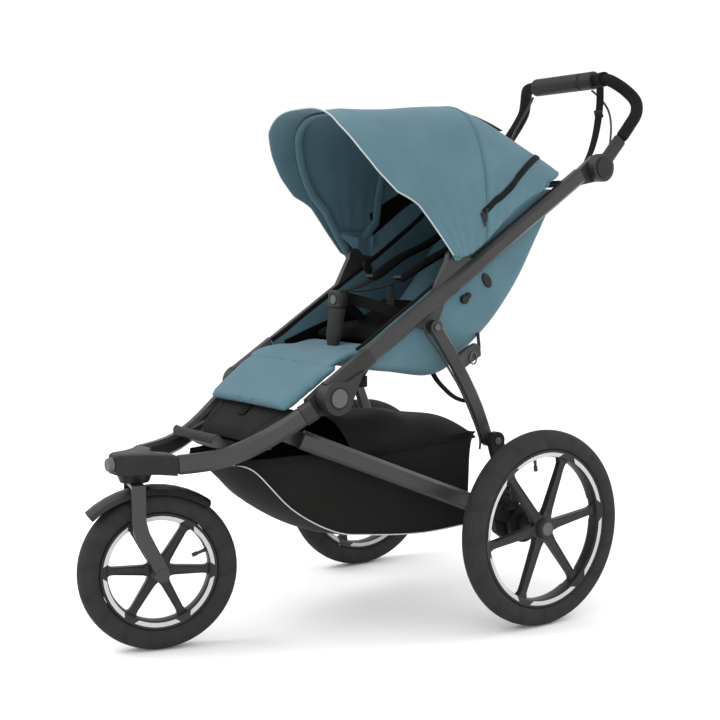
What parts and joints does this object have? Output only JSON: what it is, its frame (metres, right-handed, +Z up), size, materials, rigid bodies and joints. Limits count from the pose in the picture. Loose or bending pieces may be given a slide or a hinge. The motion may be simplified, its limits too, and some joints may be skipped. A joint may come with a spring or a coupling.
{
  "type": "jogging stroller",
  "caption": "Three-wheel jogging stroller with a folding frame, swivelling front wheel, sprung rear wheels, folding canopy, harness seat, storage basket and tilting foam handlebar",
  "frame": {"origin": "on the ground under the middle of the overall bounding box", "axes": "+Z up; the stroller faces -Y, so the handlebar is at +Y; +X is the child's left"},
  "size_m": [0.69, 1.2846, 1.1775],
  "materials": {
    "frame_paint": "satin graphite powder coat",
    "casting": "satin black-grey casting",
    "moulded_black": "fine-textured black moulding",
    "wheel_plastic": "satin black moulding",
    "grey_plastic": "textured grey moulding",
    "tyre_rubber": "matte dark rubber with a shallow tread",
    "foam": "closed-cell grip foam",
    "teal_fabric": "woven polyester, muted blue-green",
    "black_fabric": "woven polyester, black",
    "webbing": "black ribbed webbing",
    "cable": "smooth black cable housing",
    "spring_steel": "dark spring steel"
  },
  "bodies": {
    "front_frame": {"front_tube_left": "frame_paint", "front_tube_right": "frame_paint", "nose_casting": "moulded_black", "footrest": "moulded_black", "calf_panel": "black_fabric", "leg_rest": "teal_fabric", "lower_hinge_left": "casting", "lower_hinge_right": "casting"},
    "swivel_lock_knob": {"swivel_lock_knob": "grey_plastic"},
    "fork": {"fork": "frame_paint", "mudguard": "moulded_black"},
    "front_wheel": {"front_rim": "wheel_plastic", "front_tyre": "tyre_rubber"},
    "upper_frame": {"upper_tube_left": "frame_paint", "upper_tube_right": "frame_paint", "upper_hinge_left": "casting", "upper_hinge_right": "casting", "frame_crossbar": "moulded_black", "seat_sling": "teal_fabric", "seat_pad": "black_fabric", "canopy_rear_fabric": "teal_fabric", "crotch_strap": "webbing", "harness_buckle": "moulded_black", "lap_belt": "webbing"},
    "buckle_button": {"buckle_button": "grey_plastic"},
    "backrest": {"backrest": "teal_fabric", "shoulder_strap_left": "webbing", "shoulder_strap_right": "webbing"},
    "canopy_middle": {"canopy_middle_bow": "frame_paint"},
    "canopy_front": {"canopy_front_bow": "frame_paint", "canopy_visor_fabric": "teal_fabric"},
    "handlebar": {"handle_arm_left": "casting", "handle_arm_right": "casting", "handle_grip_left": "foam", "handle_grip_right": "foam", "brake_console": "moulded_black", "wrist_strap": "webbing", "handle_cable_left": "cable", "handle_cable_right": "cable"},
    "release_button_left": {"release_button_left": "grey_plastic"},
    "release_button_right": {"release_button_right": "grey_plastic"},
    "brake_twist_grip": {"brake_twist_grip": "moulded_black"},
    "rear_frame": {"lower_tube_left": "frame_paint", "lower_tube_right": "frame_paint", "rear_leg_left": "moulded_black", "rear_leg_right": "moulded_black", "rear_crossbar": "frame_paint", "basket": "black_fabric", "suspension_spring_left": "spring_steel", "suspension_spring_right": "spring_steel"},
    "strut": {"strut_left": "frame_paint", "strut_right": "frame_paint", "strut_cable_left": "cable", "strut_cable_right": "cable"},
    "axle_carrier_left": {"axle_carrier_left": "moulded_black"},
    "axle_carrier_right": {"axle_carrier_right": "moulded_black"},
    "rear_wheel_left": {"rear_rim_left": "wheel_plastic", "rear_tyre_left": "tyre_rubber"},
    "rear_wheel_right": {"rear_rim_right": "wheel_plastic", "rear_tyre_right": "tyre_rubber"}
  },
  "joints": [
    {"name": "frame_fold", "type": "hinge", "parent": "front_frame", "child": "upper_frame", "pos_m": [0, -0.1914, 0.488], "axis": [-1, 0, 0], "range_deg": [0, 95], "deforming": ["basket", "strut_cable_left", "strut_cable_right"]},
    {"name": "rear_frame_pivot", "type": "hinge", "parent": "front_frame", "child": "rear_frame", "pos_m": [0, -0.2764, 0.42], "axis": [-1, 0, 0], "range_deg": [0, 84]},
    {"name": "strut_pivot", "type": "hinge", "parent": "upper_frame", "child": "strut", "pos_m": [0, 0.0566, 0.616], "axis": [1, 0, 0], "range_deg": [0, 61]},
    {"name": "caster_swivel", "type": "hinge", "parent": "front_frame", "child": "fork", "pos_m": [0, -0.5324, 0.3315], "axis": [0, 0, 1], "continuous": true},
    {"name": "front_wheel_spin", "type": "hinge", "parent": "fork", "child": "front_wheel", "pos_m": [0.01221, -0.49117, 0.156], "axis": [0.9588, -0.284, 0], "continuous": true},
    {"name": "swivel_lock_turn", "type": "hinge", "parent": "front_frame", "child": "swivel_lock_knob", "pos_m": [0, -0.5839, 0.369], "axis": [0, -1, 0], "range_deg": [0, 90]},
    {"name": "handle_tilt", "type": "hinge", "parent": "upper_frame", "child": "handlebar", "pos_m": [0, 0.5176, 0.9525], "axis": [1, 0, 0], "range_deg": [-60, 30], "deforming": ["wrist_strap", "handle_cable_left", "handle_cable_right"]},
    {"name": "handle_release_left", "type": "slide", "parent": "upper_frame", "child": "release_button_left", "axis": [1, 0, 0], "range_m": [0, 0.004], "stiffness_N_per_m": 300},
    {"name": "handle_release_right", "type": "slide", "parent": "upper_frame", "child": "release_button_right", "axis": [-1, 0, 0], "range_m": [0, 0.004], "stiffness_N_per_m": 300},
    {"name": "brake_twist", "type": "hinge", "parent": "handlebar", "child": "brake_twist_grip", "pos_m": [0, 0.5876, 1.157], "axis": [1, 0, 0], "range_deg": [-30, 60], "stiffness_Nm_per_rad": 0.2},
    {"name": "canopy_middle_fold", "type": "hinge", "parent": "upper_frame", "child": "canopy_middle", "pos_m": [0, 0.1076, 0.757], "axis": [-1, 0, 0], "range_deg": [0, 14], "deforming": ["canopy_rear_fabric", "canopy_visor_fabric"]},
    {"name": "canopy_front_fold", "type": "hinge", "parent": "canopy_middle", "child": "canopy_front", "pos_m": [0, 0.1076, 0.757], "axis": [-1, 0, 0], "range_deg": [0, 42]},
    {"name": "backrest_recline", "type": "hinge", "parent": "upper_frame", "child": "backrest", "pos_m": [0, 0.1436, 0.572], "axis": [1, 0, 0], "range_deg": [0, 22], "deforming": ["shoulder_strap_left", "shoulder_strap_right"]},
    {"name": "buckle_press", "type": "slide", "parent": "upper_frame", "child": "buckle_button", "axis": [0, 1, 0], "range_m": [0, 0.003], "stiffness_N_per_m": 250},
    {"name": "suspension_left", "type": "hinge", "parent": "rear_frame", "child": "axle_carrier_left", "pos_m": [0.25, 0.1286, 0.2478], "axis": [1, 0, 0], "range_deg": [0, 6], "stiffness_Nm_per_rad": 60, "springref_deg": -5.73, "deforming": ["suspension_spring_left"]},
    {"name": "suspension_right", "type": "hinge", "parent": "rear_frame", "child": "axle_carrier_right", "pos_m": [-0.25, 0.1286, 0.2478], "axis": [1, 0, 0], "range_deg": [0, 6], "stiffness_Nm_per_rad": 60, "springref_deg": -5.73, "deforming": ["suspension_spring_right"]},
    {"name": "rear_wheel_spin_left", "type": "hinge", "parent": "axle_carrier_left", "child": "rear_wheel_left", "pos_m": [0.322, 0.2286, 0.203], "axis": [1, 0, 0], "continuous": true},
    {"name": "rear_wheel_spin_right", "type": "hinge", "parent": "axle_carrier_right", "child": "rear_wheel_right", "pos_m": [-0.322, 0.2286, 0.203], "axis": [1, 0, 0], "continuous": true}
  ],
  "couplings": [
    {"joint": "rear_frame_pivot", "follows": "frame_fold", "ratio": 0.7555},
    {"joint": "strut_pivot", "follows": "frame_fold", "ratio": 0.548},
    {"joint": "canopy_front_fold", "follows": "canopy_middle_fold", "ratio": 3}
  ]
}
